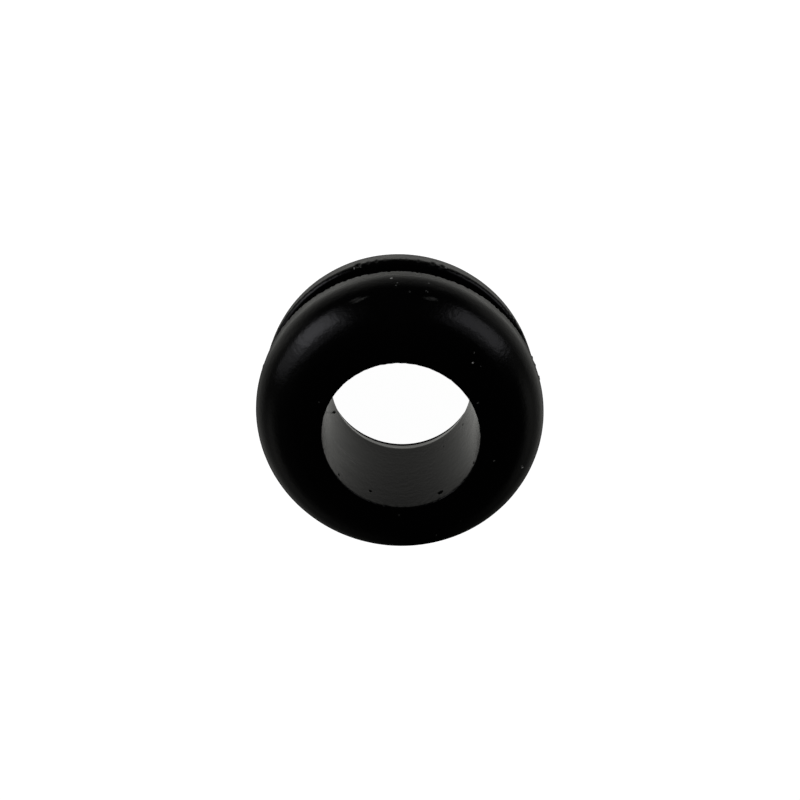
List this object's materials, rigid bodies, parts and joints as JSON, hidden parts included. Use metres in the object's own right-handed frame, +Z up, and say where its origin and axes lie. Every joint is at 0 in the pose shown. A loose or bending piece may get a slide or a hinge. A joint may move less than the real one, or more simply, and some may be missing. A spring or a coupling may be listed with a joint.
{
  "type": "rubber grommet",
  "caption": "Round moulded rubber grommet: rounded flanges grip a panel's edge in the groove between them, and a cable or hose passes through the bore.",
  "frame": {"origin": "centre of the lower flange's end face, on the axis of the bore", "axes": "+Z runs up along the bore, from the lower flange that it lies on to the upper one; the ring is round, so +X and +Y are any two directions across it"},
  "size_m": [0.0238, 0.0238, 0.0134],
  "materials": {
    "rubber": "matte moulded black, lightly dusted"
  },
  "bodies": {
    "root": {"grommet": "rubber"}
  },
  "joints": []
}
